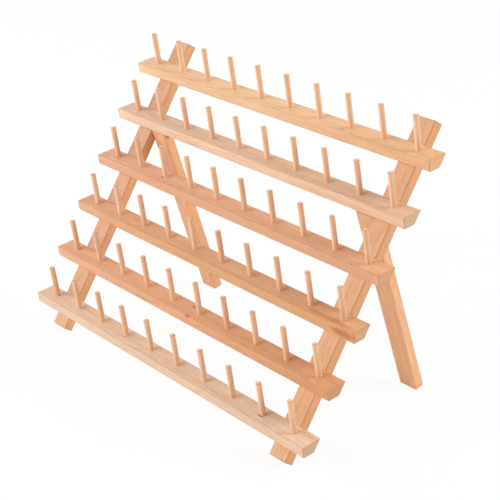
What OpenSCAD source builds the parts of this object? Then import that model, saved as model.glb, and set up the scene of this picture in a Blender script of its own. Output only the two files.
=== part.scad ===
// Folding wooden rack that holds sixty spools of thread on upright pins.
// It stands as an A-frame: six rails of pins on two leaning front legs, and two
// hinged back legs that fold flat between the front legs. Millimetres, +Z up,
// +X along the rails to the right, +Y to the back, origin under the middle.

/* [Rails] */
// Pins on each rail
pins_per_row = 10; // [4:1:14]
// Distance between neighbouring pins
pin_pitch = 39.6; // [32:0.1:60]
// Rail beyond the centre of its last pin
end_margin = 21.8; // [20:0.1:35]
// Rail from its upper back edge to its front face
rail_depth = 19; // [16:0.5:26]
// Rail from top to bottom
rail_height = 9.4; // [8:0.1:12]
// Distance between rails along the front legs
row_pitch = 48.7; // [42:0.1:70]
// Lowest rail's upper back edge above the bottom end of the front legs
first_row = 31.8; // [26:0.2:50]

/* [Pins] */
// Pin diameter
pin_d = 5; // [4:0.1:5.6]
// Pin above the rail
pin_height = 30.5; // [20:0.5:45]
// Diameter of the turned-down end that seats in the rail
seat_d = 4; // [3:0.1:4]
// Depth of that end in the rail
seat_depth = 5.5; // [4:0.25:5.5]
// Pin centre from the rail's upper back edge
pin_inset = 8.7; // [8.3:0.1:10.5]
// Easing at the pin's tip
pin_ease = 0.7; // [0.3:0.1:1.2]

/* [Front legs] */
// Width across the front face
front_leg_w = 20; // [16:0.5:26]
// Thickness of all four legs
leg_t = 9; // [8:0.5:12]
// Leg above the top rail's upper back edge
leg_top = 21.7; // [12:0.1:40]
// Centre of each front leg inside the last pin's centre
leg_offset = 12.2; // [9:0.1:14]
// Lean of the front legs from upright, in degrees
lean = 34.5; // [28:0.5:38]
// Lean of the pins to the front from upright, in degrees
pin_lean = 6; // [2:0.5:9]

/* [Back legs] */
// Width of the back legs
back_leg_w = 20; // [14:0.5:24]
// Angle between front and back legs when they stand open, in degrees
spread = 49.5; // [44:0.5:56]
// Pivot below the lower back edge of the second rail
pivot_drop = 4.8; // [4:0.1:6.5]

/* [Hardware] */
// Pivot screw shank diameter
pivot_d = 4; // [3:0.1:4.5]
// Pivot screw head diameter
pivot_head_d = 6.8; // [6:0.1:7.4]
// Height of the cone under the pivot screw's head
pivot_cone_h = 1.6; // [1.2:0.1:2.4]
// Front leg left beyond the pivot screw's point
pivot_wall = 5; // [3:0.5:8]
// Pivot washer diameter
washer_d = 9; // [8:0.2:9]
// Pivot washer thickness
washer_t = 0.8; // [0.5:0.1:1.6]
// Rail screw shank diameter
screw_d = 3; // [2.4:0.1:3.4]
// Rail screw head diameter
screw_head_d = 5.6; // [5:0.1:7]
// Height of the cone under the rail screw's head
screw_cone_h = 1.4; // [1.2:0.1:2.4]
// Rail screw reach into the rail
screw_bite = 6; // [4:0.25:6.5]
// Rail screw below the rail's upper back edge
screw_drop = 8; // [7.5:0.25:8.5]
// Height of the rim round every screw's head
screw_rim = 0.3; // [0.2:0.1:0.6]
// Every screw's head below the face of its leg
screw_sink = 0.2; // [0.1:0.1:1]
// Width and depth of the slot in every screw's head
screw_slot = 0.8; // [0.5:0.1:1]
// Length of every screw's point
screw_point = 2; // [1:0.25:3]

/* [Clearances] */
// Pivot screw in the legs, on the radius
pivot_fit = 0.05; // [0.02:0.01:0.1]
// Pivot screw in its washer, on the radius
washer_play = 0.15; // [0.1:0.01:0.25]
// Rail screw in its holes, on the radius
screw_fit = 0.05; // [0.02:0.01:0.1]
// Pin's seat in its hole, on the radius
seat_fit = 0.05; // [0.02:0.01:0.1]
// Pivot washer from the leg on each side of it
side_gap = 0.1; // [0.05:0.01:0.2]
// Back leg's upper end from the rail that stops it
stop_gap = 0.1; // [0.05:0.01:0.2]

/* [Hidden] */

$fn = 48;
rows = 6;
// A cut runs this far past the face that it opens
past = 1;

// Rails and pins
last_pin_x = (pins_per_row - 1) / 2 * pin_pitch;
rail_len = 2 * (last_pin_x + end_margin);
pin_r = pin_d / 2;
seat_r = seat_d / 2;
// Angle from the front legs to the pins, which is also the bevel on the rails' backs
bevel = lean + pin_lean;
bevel_depth = rail_height * tan(bevel);
bevel_face = rail_height / cos(bevel);

// Front legs, measured along the leg from where its front face would meet the floor
leg_bottom = leg_t * tan(lean);
row_s = [for (i = [1 : rows]) leg_bottom + first_row + (rows - i) * row_pitch];
leg_end = row_s[0] + leg_top;
front_leg_x = last_pin_x - leg_offset;

// Pivot and back legs
pivot_s = row_s[1] - bevel_face - pivot_drop;
pivot_y = pivot_s * sin(lean) + leg_t / 2 * cos(lean);
pivot_z = pivot_s * cos(lean) - leg_t / 2 * sin(lean);
back_lean = spread - lean;
back_reach = (pivot_z - leg_t / 2 * sin(back_lean)) / cos(back_lean);
leg_gap = washer_t + 2 * side_gap;
back_leg_x = front_leg_x - (front_leg_w + back_leg_w) / 2 - leg_gap;
// The upper end is mitred to lie in the plane of the rails' backs when open
mitre_front = (leg_t / 2 * (1 - cos(spread)) - stop_gap) / sin(spread);
mitre_back = (leg_t / 2 * (1 + cos(spread)) - stop_gap) / sin(spread);

// Screws, from the head's top to the point
pivot_screw_l = back_leg_w + leg_gap + front_leg_w - pivot_wall - screw_sink;
rail_screw_l = leg_t - screw_sink + screw_bite;

// The origin lies under the middle of the open rack
front_y = min(leg_bottom * sin(lean), row_s[rows - 1] * sin(lean) - rail_depth * cos(pin_lean));
foot_y = pivot_y + back_reach * sin(back_lean) + leg_t / 2 * cos(back_lean);
back_y = max(leg_end * sin(lean) + leg_t * cos(lean), foot_y);
origin_y = (front_y + back_y) / 2;

// Leg frame: z along the front legs, y from their front faces to the back
module leg_frame() {
  translate([0, -origin_y, 0])
    rotate([-lean, 0, 0])
      children();
}

// Rail frame of one row: z along the pins, y to the back from the rail's upper back edge
module rail_frame(row) {
  leg_frame()
    translate([0, 0, row_s[row - 1]])
      rotate([bevel, 0, 0])
        children();
}

// Pivot frame of one side: x outwards from the back leg's inner face, z up the front leg
module pivot_frame(side) {
  leg_frame()
    translate([side * (back_leg_x - back_leg_w / 2), leg_t / 2, pivot_s])
      rotate([0, 0, side > 0 ? 0 : 180])
        children();
}

// Rail screws of one front leg: z along the screw, to the back from its head's top
module at_rail_screws(side, from_row, to_row) {
  for (row = [from_row : to_row])
    leg_frame()
      translate([side * front_leg_x, leg_t - screw_sink, row_s[row - 1] - screw_drop])
        rotate([-90, 0, 0])
          children();
}

// Pivot screw of one side: z along the screw, inwards from its head's top
module at_pivot_screw(side) {
  pivot_frame(side)
    translate([screw_sink, 0, 0])
      rotate([0, -90, 0])
        children();
}

module along_x(length) {
  rotate([90, 0, 90])
    linear_extrude(length)
      children();
}

module x_cylinder(radius, from_x, to_x) {
  translate([from_x, 0, 0])
    rotate([0, 90, 0])
      cylinder(r = radius, h = to_x - from_x);
}

// Countersunk screw with its head's top at z = 0, widened all round by a clearance
module screw_shape(shank_d, head_d, cone_h, length, clearance, top) {
  shank_r = shank_d / 2 + clearance;
  head_r = head_d / 2 + clearance;
  rotate_extrude()
    polygon([
      [0, -length - clearance],
      [shank_r, screw_point - length - clearance],
      [shank_r, -screw_rim - cone_h],
      [head_r, -screw_rim],
      [head_r, top],
      [0, top]]);
}

module rail_screw_shape(clearance, top) {
  screw_shape(screw_d, screw_head_d, screw_cone_h, rail_screw_l, clearance, top);
}

module pivot_screw_shape(clearance, top) {
  screw_shape(pivot_d, pivot_head_d, pivot_cone_h, pivot_screw_l, clearance, top);
}

module rail_screw_hole() {
  rail_screw_shape(screw_fit, screw_sink + past);
}

module pivot_screw_hole() {
  pivot_screw_shape(pivot_fit, screw_sink + past);
}

// Slot across a screw's head
module slot(head_d) {
  translate([-head_d, -screw_slot / 2, -screw_slot])
    cube([2 * head_d, screw_slot, screw_slot + past]);
}

module rail(row) {
  difference() {
    rail_frame(row)
      translate([-rail_len / 2, 0, 0])
        along_x(rail_len)
          polygon([
            [0, 0],
            [-rail_depth, 0],
            [-rail_depth, -rail_height],
            [-bevel_depth, -rail_height]]);
    rail_frame(row)
      for (i = [0 : pins_per_row - 1])
        translate([i * pin_pitch - last_pin_x, -pin_inset, -seat_depth])
          cylinder(r = seat_r + seat_fit, h = seat_depth + past);
    for (side = [-1, 1])
      at_rail_screws(side, row, row)
        rail_screw_hole();
  }
}

module row_pins(row) {
  rail_frame(row)
    for (i = [0 : pins_per_row - 1])
      translate([i * pin_pitch - last_pin_x, -pin_inset, 0])
        rotate_extrude()
          polygon([
            [0, -seat_depth],
            [seat_r, -seat_depth],
            [seat_r, 0],
            [pin_r, 0],
            [pin_r, pin_height - pin_ease],
            [pin_r - pin_ease, pin_height],
            [0, pin_height]]);
}

module front_leg(side) {
  difference() {
    leg_frame()
      translate([side * front_leg_x - front_leg_w / 2, 0, leg_bottom])
        cube([front_leg_w, leg_t, leg_end - leg_bottom]);
    at_pivot_screw(side)
      pivot_screw_hole();
    at_rail_screws(side, 1, rows)
      rail_screw_hole();
  }
}

module back_leg(side) {
  difference() {
    pivot_frame(side)
      rotate([side * spread, 0, 0])
        along_x(back_leg_w)
          polygon([
            [-side * leg_t / 2, -back_reach],
            [side * leg_t / 2, -back_reach],
            [side * leg_t / 2, mitre_back],
            [-side * leg_t / 2, mitre_front]]);
    at_pivot_screw(side)
      pivot_screw_hole();
  }
}

// Screw that the back leg turns on, driven into the front leg from inside
module pivot_screw(side) {
  at_pivot_screw(side)
    difference() {
      pivot_screw_shape(0, 0);
      slot(pivot_head_d);
    }
}

// Washer between the back leg and the front leg
module pivot_washer(side) {
  seat = back_leg_w + side_gap;
  pivot_frame(side)
    difference() {
      x_cylinder(washer_d / 2, seat, seat + washer_t);
      x_cylinder(pivot_d / 2 + washer_play, seat - past, seat + washer_t + past);
    }
}

module rail_screws(side) {
  at_rail_screws(side, 1, rows)
    difference() {
      rail_screw_shape(0, 0);
      slot(screw_head_d);
    }
}

color("#E6BA91") rail(1);  // rail_1
color("#E1C0A5") rail(2);  // rail_2
color("#E4AC87") rail(3);  // rail_3
color("#DCAC8B") rail(4);  // rail_4
color("#DBA581") rail(5);  // rail_5
color("#DFBDA1") rail(6);  // rail_6
color("#EAB78E") row_pins(1);  // row_1_pins
color("#EAB78E") row_pins(2);  // row_2_pins
color("#EAB78E") row_pins(3);  // row_3_pins
color("#EAB78E") row_pins(4);  // row_4_pins
color("#EAB78E") row_pins(5);  // row_5_pins
color("#EAB78E") row_pins(6);  // row_6_pins
color("#E7AE87") front_leg(-1);  // front_leg_left
color("#E7AE87") front_leg(1);  // front_leg_right
color("#EDB689") back_leg(-1);  // back_leg_left
color("#EDB689") back_leg(1);  // back_leg_right
color("goldenrod") pivot_screw(-1);  // pivot_screw_left
color("goldenrod") pivot_screw(1);  // pivot_screw_right
color("silver") pivot_washer(-1);  // pivot_washer_left
color("silver") pivot_washer(1);  // pivot_washer_right
color("goldenrod") rail_screws(-1);  // rail_screws_left
color("goldenrod") rail_screws(1);  // rail_screws_right
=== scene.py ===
"""Looks of the folding wooden spool rack: sanded timber, turned pins, countersunk screws, white studio."""
import math
import random

import bmesh
import bpy
from mathutils import Matrix, Vector


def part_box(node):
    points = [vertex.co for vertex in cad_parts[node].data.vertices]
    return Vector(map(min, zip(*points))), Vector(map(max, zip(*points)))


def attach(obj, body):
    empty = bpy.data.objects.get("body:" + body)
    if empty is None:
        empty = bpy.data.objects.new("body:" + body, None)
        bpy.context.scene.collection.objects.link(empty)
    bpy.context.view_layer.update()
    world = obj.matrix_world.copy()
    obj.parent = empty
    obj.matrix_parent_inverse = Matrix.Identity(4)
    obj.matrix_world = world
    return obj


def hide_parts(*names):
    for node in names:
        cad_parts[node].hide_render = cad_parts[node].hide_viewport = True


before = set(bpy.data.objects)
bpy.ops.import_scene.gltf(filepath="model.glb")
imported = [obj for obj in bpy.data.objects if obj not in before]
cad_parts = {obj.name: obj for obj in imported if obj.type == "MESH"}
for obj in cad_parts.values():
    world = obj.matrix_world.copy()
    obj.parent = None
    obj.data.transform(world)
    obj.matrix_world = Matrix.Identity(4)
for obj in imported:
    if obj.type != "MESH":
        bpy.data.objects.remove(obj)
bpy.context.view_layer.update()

MM = 0.001

# Rails
RAIL_LENGTH = 400 * MM
RAIL_DEPTH = 19 * MM
RAIL_HEIGHT = 9.4 * MM
ROW_PITCH = 48.7 * MM
FIRST_ROW = 31.8 * MM
ROWS = 6

# Pins
PINS_PER_ROW = 10
PIN_PITCH = 39.6 * MM
PIN_RADIUS = 2.5 * MM
PIN_HEIGHT = 30.5 * MM
PIN_INSET = 8.7 * MM
PIN_EASE = 0.7 * MM
SEAT_RADIUS = 2 * MM
SEAT_DEPTH = 5.5 * MM

# Legs
LEG_THICKNESS = 9 * MM
FRONT_LEG_WIDTH = 20 * MM
BACK_LEG_WIDTH = 20 * MM
FRONT_LEG_X = 166 * MM
LEG_TOP = 21.7 * MM
LEAN = math.radians(34.5)
PIN_LEAN = math.radians(6)
SPREAD = math.radians(49.5)
BEVEL = LEAN + PIN_LEAN

# Pivots and screws
PIVOT_DROP = 4.8 * MM
PIVOT_WALL = 5 * MM
WASHER_RADIUS = 4.5 * MM
WASHER_THICKNESS = 0.8 * MM
SCREW_RIM = 0.3 * MM
SCREW_SINK = 0.2 * MM
SCREW_SLOT = 0.8 * MM
SCREW_BITE = 6 * MM
SCREW_POINT = 2 * MM
SCREW_TIP_SHARE = 0.05
SCREW_DROP = 8 * MM
SCREW_EASE = 0.12 * MM
WASHER_EASE = 0.16 * MM

# Eased edges of the timber, with the marks of the rim beside a rounding and of the rails' upper front edge
ROUNDING = 0.6 * MM
RIM = 0.5 * MM
RIM_SHARE = 0.5
FRONT_EDGE_SHARE = 0.35

# Two directions with this much in common, or two places this close, are the same
SAME_WAY = 0.9999
SAME_PLACE = 1e-6

# Clearances
BORE_FIT = 0.05 * MM
WASHER_PLAY = 0.15 * MM
SIDE_GAP = 0.1 * MM
STOP_GAP = 0.1 * MM
PAST = 1 * MM

# Places worked out from the sizes
LEG_BOTTOM = LEG_THICKNESS * math.tan(LEAN)
ROW_S = [LEG_BOTTOM + FIRST_ROW + (ROWS - 1 - i) * ROW_PITCH for i in range(ROWS)]
LEG_END = ROW_S[0] + LEG_TOP
LAST_PIN_X = (PINS_PER_ROW - 1) / 2 * PIN_PITCH
PIVOT_S = ROW_S[1] - RAIL_HEIGHT / math.cos(BEVEL) - PIVOT_DROP
PIVOT_Z = PIVOT_S * math.cos(LEAN) - LEG_THICKNESS / 2 * math.sin(LEAN)
BACK_LEAN = SPREAD - LEAN
BACK_REACH = (PIVOT_Z - LEG_THICKNESS / 2 * math.sin(BACK_LEAN)) / math.cos(BACK_LEAN)
LEG_GAP = WASHER_THICKNESS + 2 * SIDE_GAP
BACK_LEG_X = FRONT_LEG_X - (FRONT_LEG_WIDTH + BACK_LEG_WIDTH) / 2 - LEG_GAP
WASHER_SEAT = BACK_LEG_WIDTH + SIDE_GAP

# Shank radius, head radius, height of the cone and whole length of each kind of screw
RAIL_SCREW = (1.5 * MM, 2.8 * MM, 1.4 * MM, LEG_THICKNESS - SCREW_SINK + SCREW_BITE)
PIVOT_SCREW_LENGTH = BACK_LEG_WIDTH + LEG_GAP + FRONT_LEG_WIDTH - PIVOT_WALL - SCREW_SINK
PIVOT_SCREW = (2 * MM, 3.4 * MM, 1.6 * MM, PIVOT_SCREW_LENGTH)

# The front legs' lower front edge lies as far forward as the CAD box reaches
FLOOR_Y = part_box("front_leg_left")[0].y - LEG_BOTTOM * math.sin(LEAN)

LEG_FRAME = Matrix.Translation((0, FLOOR_Y, 0)) @ Matrix.Rotation(-LEAN, 4, "X")
SIDES = {"left": -1, "right": 1}


def rail_frame(row):
    """Z along the pins, Y to the back from the rail's upper back edge."""
    return LEG_FRAME @ Matrix.Translation((0, 0, ROW_S[row])) @ Matrix.Rotation(BEVEL, 4, "X")


def pivot_frame(side):
    """X outwards from the back leg's inner face, Z up the front leg."""
    inner_x = side * (BACK_LEG_X - BACK_LEG_WIDTH / 2)
    turn = Matrix.Rotation(0 if side > 0 else math.pi, 4, "Z")
    return LEG_FRAME @ Matrix.Translation((inner_x, LEG_THICKNESS / 2, PIVOT_S)) @ turn


def rail_screw_frame(side, row):
    """Z along the screw, to the back from its head's top."""
    at = Matrix.Translation((side * FRONT_LEG_X, LEG_THICKNESS - SCREW_SINK, ROW_S[row] - SCREW_DROP))
    return LEG_FRAME @ at @ Matrix.Rotation(-math.pi / 2, 4, "X")


def pivot_screw_frame(side):
    """Z along the screw, inwards from its head's top."""
    return pivot_frame(side) @ Matrix.Translation((SCREW_SINK, 0, 0)) @ Matrix.Rotation(-math.pi / 2, 4, "Y")


# Modelling helpers

def select_only(*pieces):
    if bpy.context.object and bpy.context.object.mode != "OBJECT":
        bpy.ops.object.mode_set(mode="OBJECT")
    bpy.ops.object.select_all(action="DESELECT")
    for piece in pieces:
        piece.select_set(True)
    bpy.context.view_layer.objects.active = pieces[0] if pieces else None


def choose(piece, kind, wanted):
    """In edit mode, selects only the vertices, edges or faces for which wanted(element) holds."""
    bpy.ops.mesh.select_mode(type=kind)
    bpy.ops.mesh.select_all(action="DESELECT")
    cut = bmesh.from_edit_mesh(piece.data)
    elements = {"VERT": cut.verts, "EDGE": cut.edges, "FACE": cut.faces}[kind]
    for element in elements:
        if wanted(element):
            element.select_set(True)
    bmesh.update_edit_mesh(piece.data)


def apply_modifier(piece, kind, **settings):
    select_only(piece)
    modifier = piece.modifiers.new(kind.lower(), kind)
    for key, value in settings.items():
        setattr(modifier, key, value)
    bpy.ops.object.modifier_apply(modifier=modifier.name)


def block(name, low, high):
    """A rectangular block between two corners."""
    low, high = Vector(low), Vector(high)
    select_only()
    bpy.ops.mesh.primitive_cube_add(size=1, location=(low + high) / 2, scale=high - low)
    piece = bpy.context.object
    piece.name = name
    bpy.ops.object.transform_apply(location=True, rotation=False, scale=True)
    return piece


def rod(name, radius, low, high, vertices=32):
    """A round rod along Z between two heights."""
    select_only()
    bpy.ops.mesh.primitive_cylinder_add(
        vertices=vertices, radius=radius, depth=high - low, location=(0, 0, (low + high) / 2))
    piece = bpy.context.object
    piece.name = name
    bpy.ops.object.transform_apply(location=True, rotation=False, scale=False)
    return piece


def ease_edges(piece, width, segments=3, wanted=lambda edge: True, rim=0):
    """Rounds the chosen edges and marks the rounding, and a rim beside it, in the face attribute arris."""
    select_only(piece)
    flats = [face.normal.copy() for face in piece.data.polygons]

    def is_flat(face):
        return any(face.normal.dot(normal) > SAME_WAY for normal in flats)

    bpy.ops.object.mode_set(mode="EDIT")
    choose(piece, "EDGE", wanted)
    bpy.ops.mesh.bevel(offset=width, segments=segments, profile=0.5, affect="EDGES")
    choose(piece, "FACE", is_flat)
    if rim:
        bpy.ops.mesh.inset(thickness=rim, use_individual=True)
    bpy.ops.object.mode_set(mode="OBJECT")
    mark_faces(piece, "arris", lambda face: 0 if face.select else RIM_SHARE if is_flat(face) else 1)


def mark_faces(piece, name, measure):
    """Writes measure(face) into a face attribute, where it gives a number."""
    layer = piece.data.attributes.get(name) or piece.data.attributes.new(name, "FLOAT", "FACE")
    for face in piece.data.polygons:
        value = measure(face)
        if value is not None:
            layer.data[face.index].value = value


def mark_end_grain(piece, axis):
    """The sawn ends look along the grain: fully to 28 degrees off it, and no longer past 61."""
    mark_faces(piece, "end_grain", lambda face: min(1, max(0, abs(face.normal[axis]) * 2.5 - 1.2)))


def push_face(piece, normal, *steps):
    """Extrudes the face furthest along normal by steps of (distance, scale)."""
    select_only(piece)
    bpy.ops.object.mode_set(mode="EDIT")
    normal = Vector(normal)
    reach = max(normal.dot(v.co) for v in piece.data.vertices)
    choose(piece, "FACE", lambda f: abs(f.calc_center_median().dot(normal) - reach) < SAME_PLACE
           and f.normal.dot(normal) > SAME_WAY)
    for distance, scale in steps:
        bpy.ops.mesh.extrude_region_move(TRANSFORM_OT_translate={"value": normal * distance})
        if scale != 1:
            across = [1 if abs(c) > 0.5 else scale for c in normal]
            bpy.ops.transform.resize(value=across, center_override=(0, 0, 0))
    bpy.ops.object.mode_set(mode="OBJECT")


def drill(piece, *cutters):
    """Cuts the cutters' shapes out of the piece and removes them."""
    select_only(*cutters)
    if len(cutters) > 1:
        bpy.ops.object.join()
    cutter = bpy.context.object
    apply_modifier(piece, "BOOLEAN", operation="DIFFERENCE", solver="EXACT", object=cutter)
    bpy.data.objects.remove(cutter, do_unlink=True)


def turned(piece, matrix):
    """Moves the piece's mesh by matrix and leaves its object at the origin."""
    piece.data.transform(matrix)
    piece.data.update()
    return piece


def copy_piece(piece, name, matrix=Matrix.Identity(4)):
    twin = piece.copy()
    twin.data = piece.data.copy()
    twin.name = name
    bpy.context.collection.objects.link(twin)
    return turned(twin, matrix)


def smooth(piece, degrees=38):
    select_only(piece)
    bpy.ops.object.shade_smooth_by_angle(angle=math.radians(degrees))
    apply_modifier(piece, "WEIGHTED_NORMAL", keep_sharp=True)


def finish_piece(piece, place, body, node_name, material):
    """Puts a finished piece in its place, on its body, with its material."""
    turned(piece, place)
    piece.data.materials.clear()
    piece.data.materials.append(material)
    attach(piece, body)
    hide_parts(node_name)


# Materials

def tone(text, lift=1):
    """Scene-linear colour of the six hex digits of a screen colour, lifted or lowered."""
    parts = [int(text[i:i + 2], 16) / 255 for i in (0, 2, 4)]
    linear = [c / 12.92 if c <= 0.04045 else ((c + 0.055) / 1.055) ** 2.4 for c in parts]
    return [min(1, c * lift) for c in linear] + [1]


def node(tree, kind, wires=None, **settings):
    """Adds a node, with its settings, and wires or fills its inputs."""
    made = tree.nodes.new(kind)
    for key, value in settings.items():
        setattr(made, key, value)
    for key, value in (wires or {}).items():
        if isinstance(value, bpy.types.NodeSocket):
            tree.links.new(value, made.inputs[key])
        else:
            made.inputs[key].default_value = value
    return made


def maths(tree, operation, a, b=0.0, clamp=False):
    return node(tree, "ShaderNodeMath", {0: a, 1: b}, operation=operation, use_clamp=clamp).outputs[0]


def vector_maths(tree, operation, a, b=(0.0, 0.0, 0.0)):
    return node(tree, "ShaderNodeVectorMath", {0: a, 1: b}, operation=operation)


def in_millimetres(tree, place):
    return node(tree, "ShaderNodeVectorMath", {0: place, "Scale": 1 / MM}, operation="SCALE").outputs[0]


def blend_colour(tree, share, a, b, blend="MIX"):
    made = node(tree, "ShaderNodeMix", {0: share, 6: a, 7: b}, data_type="RGBA", blend_type=blend)
    return made.outputs[2]


def ramp(tree, value, low, high, to_low=0.0, to_high=1.0):
    """A smooth step from to_low to to_high while value goes from low to high."""
    wires = {"Value": value, "From Min": low, "From Max": high, "To Min": to_low, "To Max": to_high}
    return node(tree, "ShaderNodeMapRange", wires, interpolation_type="SMOOTHSTEP").outputs["Result"]


def drawn_noise(tree, place, along, across, detail=2.0, roughness=0.55):
    """Noise with so many waves per millimetre along the grain and across it."""
    squeezed = vector_maths(tree, "MULTIPLY", place, (along, across, across)).outputs[0]
    wires = {"Vector": squeezed, "Scale": 1.0, "Detail": detail, "Roughness": roughness}
    return node(tree, "ShaderNodeTexNoise", wires)


def swing(tree, value, strength):
    """What a noise adds when it swings round nothing with the given strength."""
    return maths(tree, "MULTIPLY", maths(tree, "SUBTRACT", value, 0.5), strength)


def total(tree, *values):
    result = values[0]
    for value in values[1:]:
        result = maths(tree, "ADD", result, value)
    return result


def new_group(name, inputs, outputs):
    """An empty node group with its named sockets, and its input and output nodes."""
    tree = bpy.data.node_groups.new(name, "ShaderNodeTree")
    for label, value in inputs.items():
        kind = {float: "Float", tuple: "Color"}.get(type(value), "Vector")
        socket = tree.interface.new_socket(name=label, in_out="INPUT", socket_type=f"NodeSocket{kind}")
        if value is not None:
            socket.default_value = value
    for label, kind in outputs.items():
        tree.interface.new_socket(name=label, in_out="OUTPUT", socket_type=f"NodeSocket{kind}")
    return tree, tree.nodes.new("NodeGroupInput").outputs, tree.nodes.new("NodeGroupOutput").inputs


# The grain wanders so many mm, and the rings are uneven by so many rings
GRAIN_WANDER = 16.0
RING_UNEVENNESS = 2.4

# Depth of the colour and roughness of the wood before anything adds to them, and the wood's gloss
BASE_DEPTH = 0.3
BASE_ROUGHNESS = 0.56
WOOD_GLOSS = 0.3

# From a piece's plain end to its tinted end, in mm
TINT_SPAN = 400.0


def timber_group():
    """Sanded softwood in three dimensions: X along the grain, the heart of the tree at the origin."""
    white = (1.0, 1.0, 1.0, 1.0)
    tree, given, result = new_group("Sanded timber", {
        "Place": None, "Painted Light Towards": None, "Painted Light Colour": white, "Heart Colour": white, "Deep Colour": white,
        "End Colour": white, "Far Colour": white, "Middle": 0.0, "Painted Light Starts": 0.0, "Ring Width": 2.5,
        "Ring Strength": 0.2, "Fibre Strength": 0.5, "Streak Strength": 0.8, "Drift": 0.4, "Blush": 0.7,
        "Pore Strength": 0.3, "Tone": 0.0, "End Grain": 0.0, "Edge": 0.0},
        {"Color": "Color", "Roughness": "Float", "Height": "Float"})
    millimetres = in_millimetres(tree, given["Place"])

    # The grain wanders slowly sideways
    wander = drawn_noise(tree, millimetres, 0.011, 0.035, 1.0).outputs["Color"]
    centred = vector_maths(tree, "SUBTRACT", wander, (0.5, 0.5, 0.5)).outputs[0]
    bend = vector_maths(tree, "MULTIPLY", centred, (0.0, GRAIN_WANDER, GRAIN_WANDER)).outputs[0]
    place = vector_maths(tree, "ADD", millimetres, bend).outputs[0]

    # Growth rings round the heart, uneven in width and faint in places
    across = vector_maths(tree, "MULTIPLY", place, (0.0, 1.0, 1.0)).outputs[0]
    radius = vector_maths(tree, "LENGTH", across).outputs["Value"]
    uneven = drawn_noise(tree, place, 0.006, 0.1, 1.0).outputs["Fac"]
    years = maths(tree, "DIVIDE", radius, given["Ring Width"])
    years = maths(tree, "ADD", years, maths(tree, "MULTIPLY", uneven, RING_UNEVENNESS))
    season = maths(tree, "FRACT", years)
    late = maths(tree, "MULTIPLY", ramp(tree, season, 0.2, 0.9), ramp(tree, season, 0.9, 1.0, 1.0, 0.0))
    clear = ramp(tree, drawn_noise(tree, millimetres, 0.012, 0.09, 1.0).outputs["Fac"], 0.4, 0.64, 0.25, 1.0)
    rings = maths(tree, "MULTIPLY", maths(tree, "MULTIPLY", late, clear), given["Ring Strength"])

    # Fibres, streaks and pores drawn out along the grain
    fibre = drawn_noise(tree, place, 0.03, 0.9, 3.0, 0.6).outputs["Fac"]
    fine = drawn_noise(tree, place, 0.1, 3.6, 2.0).outputs["Fac"]
    streak = drawn_noise(tree, place, 0.014, 0.26, 2.0, 0.6).outputs["Fac"]
    cloud = drawn_noise(tree, millimetres, 0.008, 0.05, 2.0).outputs["Fac"]
    pores = ramp(tree, drawn_noise(tree, place, 0.16, 2.6, 0.0).outputs["Fac"], 0.66, 0.76)

    # How deep the colour goes
    depth = total(
        tree, swing(tree, fibre, given["Fibre Strength"]), swing(tree, fine, given["Fibre Strength"]),
        swing(tree, streak, given["Streak Strength"]), swing(tree, cloud, given["Drift"]),
        rings, given["Tone"])
    depth = maths(tree, "ADD", depth, BASE_DEPTH, clamp=True)
    # Painted light and shade: faces that lie far enough one way take their own colour, lighter or darker than
    # the heart's as they are lit
    outwards = vector_maths(tree, "DOT_PRODUCT", millimetres, given["Painted Light Towards"]).outputs["Value"]
    outwards = maths(tree, "SUBTRACT", outwards, given["Painted Light Starts"])
    painted_light = ramp(tree, maths(tree, "ADD", outwards, swing(tree, streak, 3.0)), -0.6, 0.6)
    body = blend_colour(tree, painted_light, given["Heart Colour"], given["Painted Light Colour"])
    colour = blend_colour(tree, depth, body, given["Deep Colour"])
    pored = maths(tree, "MULTIPLY", pores, given["Pore Strength"])
    colour = blend_colour(tree, pored, colour, given["Deep Colour"], "MULTIPLY")

    # The colour changes slowly from one end of a piece to the other
    along = node(tree, "ShaderNodeSeparateXYZ", {0: millimetres}).outputs["X"]
    along = maths(tree, "DIVIDE", maths(tree, "SUBTRACT", along, given["Middle"]), TINT_SPAN)
    tinted = maths(tree, "ADD", along, 0.5, clamp=True)
    colour = blend_colour(tree, tinted, colour, given["Far Colour"], "MULTIPLY")

    # The hue drifts between rosy and straw
    hue = ramp(tree, drawn_noise(tree, millimetres, 0.02, 0.15, 2.0).outputs["Fac"], 0.3, 0.7)
    hued = blend_colour(tree, hue, (1.0, 0.955, 0.945, 1.0), (0.98, 1.0, 0.945, 1.0))
    colour = blend_colour(tree, given["Blush"], colour, hued, "MULTIPLY")

    # Sawn ends drink in the light, eased edges are darker
    dots = swing(tree, fine, 0.5)
    ringed = maths(tree, "ADD", maths(tree, "MULTIPLY", rings, 1.6), dots, clamp=True)
    ended = blend_colour(tree, ringed, given["End Colour"], given["Deep Colour"])
    colour = blend_colour(tree, given["End Grain"], colour, ended)
    darker_edge = maths(tree, "MULTIPLY", given["Edge"], ramp(tree, fibre, 0.2, 0.6, 0.6, 1.0))
    colour = blend_colour(tree, darker_edge, colour, given["Deep Colour"])

    matt = total(tree, maths(tree, "MULTIPLY", fibre, 0.16), maths(tree, "MULTIPLY", given["End Grain"], 0.1))
    matt = maths(tree, "ADD", matt, BASE_ROUGHNESS)
    matt = maths(tree, "SUBTRACT", matt, maths(tree, "MULTIPLY", darker_edge, 0.1), clamp=True)
    relief = total(tree, maths(tree, "MULTIPLY", fibre, 0.7), maths(tree, "MULTIPLY", fine, 0.5))
    relief = maths(tree, "SUBTRACT", relief, maths(tree, "MULTIPLY", pores, 0.6))
    tree.links.new(colour, result["Color"])
    tree.links.new(matt, result["Roughness"])
    tree.links.new(relief, result["Height"])
    return tree


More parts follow.
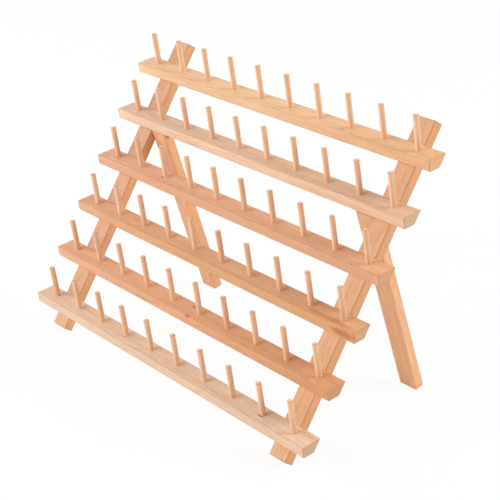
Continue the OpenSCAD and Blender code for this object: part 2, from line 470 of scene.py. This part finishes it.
def patch_group():
    """A small knot or a darker patch: 1 in its middle, fading out raggedly at its reach."""
    inputs = {"Place": None, "Centre": None, "Reach": None}
    tree, given, result = new_group("Patch", inputs, {"Mask": "Float"})
    millimetres = in_millimetres(tree, given["Place"])
    away = vector_maths(tree, "SUBTRACT", millimetres, given["Centre"]).outputs[0]
    away = vector_maths(tree, "DIVIDE", away, given["Reach"]).outputs[0]
    distance = vector_maths(tree, "LENGTH", away).outputs["Value"]
    ragged = swing(tree, drawn_noise(tree, millimetres, 0.08, 0.5, 2.0).outputs["Fac"], 0.9)
    mask = ramp(tree, maths(tree, "ADD", distance, ragged), 0.35, 1.0, 1.0, 0.0)
    tree.links.new(mask, result["Mask"])
    return tree


TIMBER = timber_group()
PATCH = patch_group()

# Kinds of wood, by the colour of their pale early growth
WOODS = {
    "rosy": "EBCEB6",
    "straw": "ECC8A3",
    "tan": "EDBD9C",
    "honey": "E7B78F",
    "amber": "EDB486",
    "birch": "F5CCA9",
}

# Kind and lightness of each piece's heart, of the painted light and shade on its front or right side, and of
# its sawn ends
SHADES = {
    "rail_1": (("straw", 1), ("straw", 0.9), ("amber", 0.9)),
    "rail_2": (("rosy", 0.98), ("rosy", 0.97), ("straw", 0.72)),
    "rail_3": (("tan", 0.99), ("tan", 0.79), ("amber", 0.77)),
    "rail_4": (("tan", 0.92), ("honey", 0.85), ("honey", 0.77)),
    "rail_5": (("tan", 1.01), ("tan", 0.88), ("amber", 0.66)),
    "rail_6": (("rosy", 1.02), ("rosy", 0.89), ("straw", 0.68)),
    "pins": (("birch", 1), ("birch", 1), ("straw", 0.94)),
    "front_leg_left": (("tan", 0.83), ("amber", 0.99), ("tan", 0.72)),
    "front_leg_right": (("honey", 0.98), ("amber", 0.92), ("honey", 0.81)),
    "back_leg_left": (("honey", 1.03), ("amber", 1.04), ("honey", 0.73)),
    "back_leg_right": (("honey", 1), ("honey", 1.2), ("honey", 0.71)),
}

# All knots and darker patches are this much lighter than the colours given with them
PATCH_LIFT = 1.2

# Share of red, green and blue that late growth, pores and the darker eased edges keep of the heart's colour
DEEPENING = (0.7, 0.54, 0.42)


def wood_colours(name):
    # The second colour is painted light and shade, for the rails' fronts and the legs' right sides
    heart, painted_light, end = (tone(WOODS[kind], lightness) for kind, lightness in SHADES[name])
    deep = [part * share for part, share in zip(heart, DEEPENING)] + [1]
    return {"Painted Light Colour": painted_light, "Heart Colour": heart, "Deep Colour": deep, "End Colour": end}


def new_material(name):
    material = bpy.data.materials.new(name)
    material.use_nodes = True
    return material, material.node_tree, material.node_tree.nodes["Principled BSDF"]


def placed(tree, group, wires):
    """Puts a node group into a material and wires or fills its inputs."""
    return node(tree, "ShaderNodeGroup", wires, node_tree=group).outputs


def timber(name, grain_frame, heart, painted_light, far="FFFFFF", patches=(), edge=0.65, **values):
    """Wood with its grain along X of grain_frame. Places and distances are in mm.

    heart is where the middle of the tree runs. The argument after heart is painted light and shade: the way
    towards the faces that take their own colour, lighter or darker than the rest as they are lit, and how far
    that way they start. far is the tint at the end where X is largest. Each patch, a knot or darker wood, has
    its centre, reach, share and colour. The values are inputs of the node group."""
    material, tree, surface = new_material(f"{name}_timber")
    to_grain = Matrix.Translation(Vector(heart) * -MM) @ grain_frame.inverted()
    seen = node(tree, "ShaderNodeTexCoord").outputs["Object"]
    wires = {"Vector": seen, "Location": to_grain.to_translation(), "Rotation": to_grain.to_euler()}
    place = node(tree, "ShaderNodeMapping", wires, vector_type="POINT").outputs[0]
    towards, starts = Vector(painted_light[0]), painted_light[1]
    marks = {key: node(tree, "ShaderNodeAttribute", attribute_name=key).outputs["Fac"]
             for key in ("tone", "end_grain", "arris")}
    wires = {
        "Place": place, "Middle": -heart[0], "Far Colour": tone(far), **wood_colours(name),
        "Painted Light Towards": towards, "Painted Light Starts": starts - towards.dot(Vector(heart)),
        "Tone": marks["tone"], "End Grain": marks["end_grain"],
        "Edge": maths(tree, "MULTIPLY", marks["arris"], edge)}
    wires.update({key.replace("_", " ").title(): value for key, value in values.items()})
    grain = placed(tree, TIMBER, wires)
    colour = grain["Color"]
    for centre, reach, share, dark in patches:
        wires = {"Place": place, "Centre": Vector(centre) - Vector(heart), "Reach": reach}
        mask = maths(tree, "MULTIPLY", placed(tree, PATCH, wires)["Mask"], share)
        colour = blend_colour(tree, mask, colour, tone(dark, PATCH_LIFT))
    bump = node(tree, "ShaderNodeBump", {"Height": grain["Height"], "Distance": 0.1 * MM, "Strength": 0.5})
    tree.links.new(colour, surface.inputs["Base Color"])
    tree.links.new(grain["Roughness"], surface.inputs["Roughness"])
    tree.links.new(bump.outputs[0], surface.inputs["Normal"])
    surface.inputs["Specular IOR Level"].default_value = WOOD_GLOSS
    return material


def plated(name, colour, roughness):
    """Bright plating with a faint cloudiness and fine handling marks."""
    material, tree, surface = new_material(name)
    place = node(tree, "ShaderNodeTexCoord").outputs["Object"]
    cloud = node(tree, "ShaderNodeTexNoise", {"Vector": place, "Scale": 900.0, "Detail": 3.0}).outputs["Fac"]
    marks = node(tree, "ShaderNodeTexNoise", {"Vector": place, "Scale": 5200.0, "Detail": 2.0}).outputs["Fac"]
    tinted = blend_colour(tree, ramp(tree, cloud, 0.35, 0.7), tone(colour), tone(colour, 0.82))
    tree.links.new(tinted, surface.inputs["Base Color"])
    uneven = ramp(tree, cloud, 0.3, 0.7, roughness - 0.06, roughness + 0.1)
    tree.links.new(uneven, surface.inputs["Roughness"])
    bump = node(tree, "ShaderNodeBump", {"Height": marks, "Distance": 0.01 * MM, "Strength": 0.4})
    tree.links.new(bump.outputs[0], surface.inputs["Normal"])
    surface.inputs["Metallic"].default_value = 1
    return material


def upright(grain):
    """The frame with X along its old Z and Z along its old -X, for grain that runs up a leg or a pin."""
    return grain @ Matrix.Rotation(-math.pi / 2, 4, "Y")


# The rails' fronts and the legs' right sides carry painted light and shade: their own colour, lighter or
# darker than the rest as they are lit
RAIL_PAINTED_LIGHT = ((0, -1, 0), 17.6)
RAIL_FIGURES = [
    dict(heart=(30, 34, -44), ring_width=2.8, ring_strength=0.18, blush=0.4, far="FFF6E8"),
    dict(heart=(-140, 20, -40), ring_width=2.2, ring_strength=0.24, far="FFF8F1"),
    dict(heart=(90, 46, 18), ring_width=2.6, ring_strength=0.22, far="FFFAF2", patches=[
        ((-100.5, -11.7, 0), (2.2, 1.4, 1.5), 0.8, "6B3A24"),
        ((181.9, -0.5, 0), (1.6, 2.5, 2), 0.7, "8A5130")]),
    dict(heart=(-60, 38, 26), ring_width=2.0, ring_strength=0.24, far="FFFAE8", patches=[
        ((170, -14.5, 0), (38, 3.4, 3), 0.7, "B5713F"),
        ((188, -19, -4.5), (20, 4, 4), 0.7, "965738")]),
    dict(heart=(170, 48, -16), ring_width=2.1, ring_strength=0.3, far="F2E1CA", patches=[
        ((6.9, -5.2, 0), (4.5, 2.2, 3), 0.8, "8E5636"),
        ((14, -18.5, 0), (5, 2.4, 3), 0.65, "96603F")]),
    dict(heart=(-20, 56, 34), ring_width=2.8, ring_strength=0.2, patches=[
        ((138.3, -11.1, 0), (3.6, 1.7, 1.5), 0.9, "4A2F1E"),
        ((-59, -11.4, 0), (2.4, 1.5, 1.5), 0.6, "A8553C")]),
]
RAIL_WOOD = [timber(f"rail_{row + 1}", rail_frame(row), painted_light=RAIL_PAINTED_LIGHT, **figure)
             for row, figure in enumerate(RAIL_FIGURES)]

# The painted light and shade starts so far off that the pins have none
PIN_WOOD = timber("pins", upright(rail_frame(0)), heart=(0, 45, 20), painted_light=((0, 0, 1), 1000), ring_width=1.6,
                  ring_strength=0.05, fibre_strength=0.35, streak_strength=0.5, edge=0.85)


def front_leg_wood(name, side, heart):
    grain = upright(LEG_FRAME @ Matrix.Translation((side * FRONT_LEG_X, 0, 0)))
    # Painted light and shade on the leg's right side
    painted_light = ((0, 0, -1), 8.6)
    return timber(f"front_leg_{name}", grain, heart, painted_light, ring_width=3, ring_strength=0.2, edge=0.7)


def back_leg_wood(name, side, heart):
    grain = upright(pivot_frame(side) @ Matrix.Rotation(side * SPREAD, 4, "X"))
    # Painted light and shade on the face that looks right: the right leg's outer face, the left leg's inner
    # face
    painted_light = ((0, 0, -1), 18.6) if side > 0 else ((0, 0, 1), -1.4)
    return timber(f"back_leg_{name}", grain, heart, painted_light, ring_width=2.7, ring_strength=0.2, edge=0.5)


FRONT_LEG_WOOD = {
    "left": front_leg_wood("left", -1, (40, 40, 30)),
    "right": front_leg_wood("right", 1, (-130, 46, 24)),
}
BACK_LEG_WOOD = {
    "left": back_leg_wood("left", -1, (0, -34, -44)),
    "right": back_leg_wood("right", 1, (80, 30, 40)),
}
ZINC = plated("zinc_plate", "C3C6C9", 0.3)
SCREW_ZINC = plated("yellow_zinc_plate", "A58562", 0.42)


# Pieces

def front_edge_share(face):
    """The mark of the rails' upper front edge: faint on its rounding and nothing on its rim."""
    return FRONT_EDGE_SHARE if max(abs(part) for part in face.normal) < SAME_WAY else 0


def rail_blank():
    """One rail with its bevelled back, eased edges and drilled holes, in its own frame."""
    rail = block("rail_blank", (-RAIL_LENGTH / 2, -RAIL_DEPTH, -RAIL_HEIGHT), (RAIL_LENGTH / 2, 0, 0))
    bpy.ops.object.mode_set(mode="EDIT")
    choose(rail, "VERT", lambda v: v.co.y > -PAST and v.co.z < -PAST)
    bpy.ops.transform.translate(value=(0, -RAIL_HEIGHT * math.tan(BEVEL), 0))
    bpy.ops.object.mode_set(mode="OBJECT")
    ease_edges(rail, ROUNDING, rim=RIM)
    mark_end_grain(rail, 0)
    # The upper front edge is marked fainter than the other edges
    near = ROUNDING + RIM
    mark_faces(rail, "arris", lambda face: front_edge_share(face) if face.center.y < near - RAIL_DEPTH
               and face.center.z > -near and abs(face.center.x) < RAIL_LENGTH / 2 - near else None)
    cutters = []
    for pin in range(PINS_PER_ROW):
        cutter = rod("drill_bit", SEAT_RADIUS + BORE_FIT, -SEAT_DEPTH, PAST)
        cutters.append(turned(cutter, Matrix.Translation((pin * PIN_PITCH - LAST_PIN_X, -PIN_INSET, 0))))
    for side in SIDES.values():
        cutter = screw_shape("drill_bit", RAIL_SCREW, BORE_FIT)
        cutters.append(turned(cutter, rail_frame(0).inverted() @ rail_screw_frame(side, 0)))
    drill(rail, *cutters)
    smooth(rail)
    return rail


def screw_shape(name, kind, clearance=0.0, top=0.0):
    """A countersunk screw along Z with its head's top at 0 and its point below, or its hole."""
    shank, head, cone, length = kind
    screw = rod(name, shank + clearance, SCREW_POINT - length - clearance, -SCREW_RIM - cone, vertices=24)
    push_face(screw, (0, 0, 1), (cone, (head + clearance) / (shank + clearance)), (SCREW_RIM + top, 1))
    push_face(screw, (0, 0, -1), (SCREW_POINT, SCREW_TIP_SHARE))
    return screw


def front_leg(side):
    half = FRONT_LEG_WIDTH / 2
    leg = block("front_leg_blank", (-half, 0, LEG_BOTTOM), (half, LEG_THICKNESS, LEG_END))
    ease_edges(leg, ROUNDING, rim=RIM)
    mark_end_grain(leg, 2)
    turned(leg, Matrix.Translation((side * FRONT_LEG_X, 0, 0)))
    into_leg = LEG_FRAME.inverted()
    cutter = screw_shape("drill_bit", PIVOT_SCREW, BORE_FIT, SCREW_SINK + PAST)
    cutters = [turned(cutter, into_leg @ pivot_screw_frame(side))]
    for row in range(ROWS):
        cutter = screw_shape("drill_bit", RAIL_SCREW, BORE_FIT, SCREW_SINK + PAST)
        cutters.append(turned(cutter, into_leg @ rail_screw_frame(side, row)))
    drill(leg, *cutters)
    smooth(leg)
    return leg


def back_leg(side):
    """In the pivot's frame, folded flat: Y is towards the front leg's back on the right side."""
    half = LEG_THICKNESS / 2
    rise_front = (half * (1 - math.cos(SPREAD)) - STOP_GAP) / math.sin(SPREAD)
    rise_back = (half * (1 + math.cos(SPREAD)) - STOP_GAP) / math.sin(SPREAD)
    leg = block("back_leg_blank", (0, -half, -BACK_REACH), (BACK_LEG_WIDTH, half, rise_front))
    bpy.ops.object.mode_set(mode="EDIT")
    choose(leg, "VERT", lambda v: v.co.z > 0 and v.co.y * side > 0)
    bpy.ops.transform.translate(value=(0, 0, rise_back - rise_front))
    bpy.ops.object.mode_set(mode="OBJECT")
    ease_edges(leg, ROUNDING, rim=RIM)
    mark_end_grain(leg, 2)
    bit = screw_shape("drill_bit", PIVOT_SCREW, BORE_FIT, SCREW_SINK + PAST)
    drill(leg, turned(bit, pivot_frame(side).inverted() @ pivot_screw_frame(side)))
    smooth(leg)
    return turned(leg, Matrix.Rotation(side * SPREAD, 4, "X"))


def pin_blank():
    """One turned pin along Z with its shoulder at 0, its seat below and an eased tip."""
    pin = rod("pin_blank", PIN_RADIUS, 0, PIN_HEIGHT, vertices=28)
    ease_edges(pin, PIN_EASE, 3, lambda e: all(v.co.z > PIN_HEIGHT - PAST for v in e.verts))
    mark_end_grain(pin, 2)
    push_face(pin, (0, 0, -1), (0, SEAT_RADIUS / PIN_RADIUS), (SEAT_DEPTH, 1))
    smooth(pin, degrees=50)
    return pin


def slotted_screw(name, kind):
    """A countersunk screw with an eased head and a straight slot."""
    screw = screw_shape(name, kind)
    reach = kind[1] + PAST
    ease_edges(screw, SCREW_EASE, 2, lambda e: all(abs(v.co.z) < SAME_PLACE for v in e.verts))
    drill(screw, block("slot_cutter", (-reach, -SCREW_SLOT / 2, -SCREW_SLOT), (reach, SCREW_SLOT / 2, PAST)))
    smooth(screw)
    return screw


def pivot_washer():
    """The punched washer between a front and a back leg, with slightly rolled edges."""
    ring = rod("washer_blank", WASHER_RADIUS, WASHER_SEAT, WASHER_SEAT + WASHER_THICKNESS, vertices=40)
    ease_edges(ring, WASHER_EASE, 2, lambda e: abs(e.verts[0].co.z - e.verts[1].co.z) < SAME_PLACE)
    bore = PIVOT_SCREW[0] + WASHER_PLAY
    drill(ring, rod("drill_bit", bore, WASHER_SEAT - PAST, WASHER_SEAT + WASHER_THICKNESS + PAST))
    smooth(ring)
    return ring


# Seeds of the random draws, and the range of the pins' shades
PIN_SEED = 6
SCREW_SEED = 11
PIN_SHADES = (-0.12, 0.16)


def make_woodwork():
    blank = rail_blank()
    for row in range(ROWS):
        name = f"rail_{row + 1}"
        rail = copy_piece(blank, f"{name}_timber")
        finish_piece(rail, rail_frame(row), "frame", name, RAIL_WOOD[row])
    bpy.data.objects.remove(blank, do_unlink=True)
    blank = pin_blank()
    draws = random.Random(PIN_SEED)
    for row in range(ROWS):
        for place in range(PINS_PER_ROW):
            turn = Matrix.Rotation(draws.uniform(0, math.pi), 4, "Z")
            pin = copy_piece(blank, f"pin_{row + 1}_{place + 1:02d}", turn)
            shade = draws.uniform(*PIN_SHADES)
            mark_faces(pin, "tone", lambda face: shade)
            at = Matrix.Translation((place * PIN_PITCH - LAST_PIN_X, -PIN_INSET, 0))
            finish_piece(pin, rail_frame(row) @ at, "frame", f"row_{row + 1}_pins", PIN_WOOD)
    bpy.data.objects.remove(blank, do_unlink=True)
    for side_name, side in SIDES.items():
        leg, name = front_leg(side), f"front_leg_{side_name}"
        leg.name = f"{name}_timber"
        finish_piece(leg, LEG_FRAME, "frame", name, FRONT_LEG_WOOD[side_name])
        leg, name = back_leg(side), f"back_leg_{side_name}"
        leg.name = f"{name}_timber"
        finish_piece(leg, pivot_frame(side), name, name, BACK_LEG_WOOD[side_name])


def make_hardware():
    rail_screw = slotted_screw("rail_screw_blank", RAIL_SCREW)
    pivot_screw = slotted_screw("pivot_screw_blank", PIVOT_SCREW)
    washer = pivot_washer()
    draws = random.Random(SCREW_SEED)
    for name, side in SIDES.items():
        turn = Matrix.Rotation(draws.uniform(0, math.pi), 4, "Z")
        screw = copy_piece(pivot_screw, f"pivot_screw_{name}_steel", turn)
        place, node_name = pivot_screw_frame(side), f"pivot_screw_{name}"
        finish_piece(screw, place, "frame", node_name, SCREW_ZINC)
        ring = copy_piece(washer, f"pivot_washer_{name}_steel")
        along_x = Matrix.Rotation(math.pi / 2, 4, "Y")
        finish_piece(ring, pivot_frame(side) @ along_x, "frame", f"pivot_washer_{name}", ZINC)
        for row in range(ROWS):
            turn = Matrix.Rotation(draws.uniform(0, math.pi), 4, "Z")
            screw = copy_piece(rail_screw, f"rail_screw_{row + 1}_{name}", turn)
            place, node_name = rail_screw_frame(side, row), f"rail_screws_{name}"
            finish_piece(screw, place, "frame", node_name, SCREW_ZINC)
    for blank in (rail_screw, pivot_screw, washer):
        bpy.data.objects.remove(blank, do_unlink=True)


make_woodwork()
make_hardware()


# Studio

# The photograph's camera, in metres and degrees, with its place from the point between the front feet
CAMERA_PLACE = (0.977891, -0.622949, 0.631726)
CAMERA_YAW = 53.025
CAMERA_PITCH = 23.411
CAMERA_ROLL = -3.21
CAMERA_LENS = 107.2
CAMERA_SENSOR = 36
CAMERA_NEAREST = 0.05

# The floor's side in metres, its own white, and how much of what is seen of it is plain white
FLOOR_SIZE = 6
FLOOR_WHITE = (0.95, 0.95, 0.95, 1)
FLOOR_GLOW = 0.9
WHITE = (1, 1, 1, 1)

# The strength of the world's light, and the white that is seen behind the floor
WORLD_LIGHT = 0.43
WORLD_SEEN = (0.956, 0.956, 0.956, 1)

# The lamps' width, and the middle of the rack, which they look at
LAMP_SIZE = 1.4
LAMP_TARGET = (0, 0, 0.12)


def photo_camera():
    data = bpy.data.cameras.new("photo_camera")
    camera = bpy.data.objects.new("photo_camera", data)
    bpy.context.collection.objects.link(camera)
    yaw, pitch, roll = (math.radians(a) for a in (CAMERA_YAW, CAMERA_PITCH, CAMERA_ROLL))
    forward = Vector((-math.sin(yaw) * math.cos(pitch), math.cos(yaw) * math.cos(pitch), -math.sin(pitch)))
    level = Vector((math.cos(yaw), math.sin(yaw), 0))
    up = level.cross(forward)
    across = math.cos(roll) * level + math.sin(roll) * up
    above = -math.sin(roll) * level + math.cos(roll) * up
    turn = Matrix((across, above, -forward)).transposed().to_4x4()
    camera.matrix_world = Matrix.Translation(Vector((0, FLOOR_Y, 0)) + Vector(CAMERA_PLACE)) @ turn
    data.sensor_width = CAMERA_SENSOR
    data.lens = CAMERA_LENS
    data.clip_start = CAMERA_NEAREST
    bpy.context.scene.camera = camera


def lamp(name, place, watts):
    """A soft round lamp that looks at the rack."""
    data = bpy.data.lights.new(name, "AREA")
    data.shape = "DISK"
    data.size = LAMP_SIZE
    data.energy = watts
    light = bpy.data.objects.new(name, data)
    light.location = place
    light.rotation_euler = (Vector(LAMP_TARGET) - Vector(place)).to_track_quat("-Z", "Y").to_euler()
    bpy.context.collection.objects.link(light)


def seen_directly(tree):
    """1 for rays from the camera, glossy surfaces and glass, which see the studio evenly bright."""
    ray = node(tree, "ShaderNodeLightPath").outputs
    seen = ray["Is Camera Ray"]
    for kind in ("Is Glossy Ray", "Is Transmission Ray"):
        seen = maths(tree, "MAXIMUM", seen, ray[kind])
    return seen


def white_floor():
    """A white floor that keeps a faint shadow."""
    select_only()
    bpy.ops.mesh.primitive_plane_add(size=FLOOR_SIZE)
    floor = bpy.context.object
    floor.name = "studio_floor"
    material, tree, surface = new_material("studio_floor_white")
    surface.inputs["Base Color"].default_value = FLOOR_WHITE
    surface.inputs["Roughness"].default_value = 1
    surface.inputs["Specular IOR Level"].default_value = 0
    glow = node(tree, "ShaderNodeEmission", {"Color": WHITE})
    share = maths(tree, "MULTIPLY", seen_directly(tree), FLOOR_GLOW)
    mix = node(tree, "ShaderNodeMixShader", {0: share, 1: surface.outputs[0], 2: glow.outputs[0]})
    tree.links.new(mix.outputs[0], tree.nodes["Material Output"].inputs["Surface"])
    floor.data.materials.append(material)


def white_world():
    """White light all round, and a ground a shade under white behind the floor."""
    world = bpy.data.worlds.new("studio_world")
    bpy.context.scene.world = world
    world.use_nodes = True
    tree = world.node_tree
    light = tree.nodes["Background"]
    light.inputs["Color"].default_value = WHITE
    light.inputs["Strength"].default_value = WORLD_LIGHT
    seen = node(tree, "ShaderNodeBackground", {"Color": WORLD_SEEN})
    mix = node(tree, "ShaderNodeMixShader", {0: seen_directly(tree), 1: light.outputs[0], 2: seen.outputs[0]})
    tree.links.new(mix.outputs[0], tree.nodes["World Output"].inputs["Surface"])


photo_camera()
white_floor()
white_world()
lamp("left_low", (-2.12, -1.22, 0.64), 26.5)
lamp("left_front", (-0.75, -2.07, 1.3), 30)
lamp("right_back", (1.6, 1.35, 1.48), 37)
lamp("back_left", (-1.53, 0.88, 1.89), 7.4)

bpy.context.scene.view_settings.view_transform = "Standard"
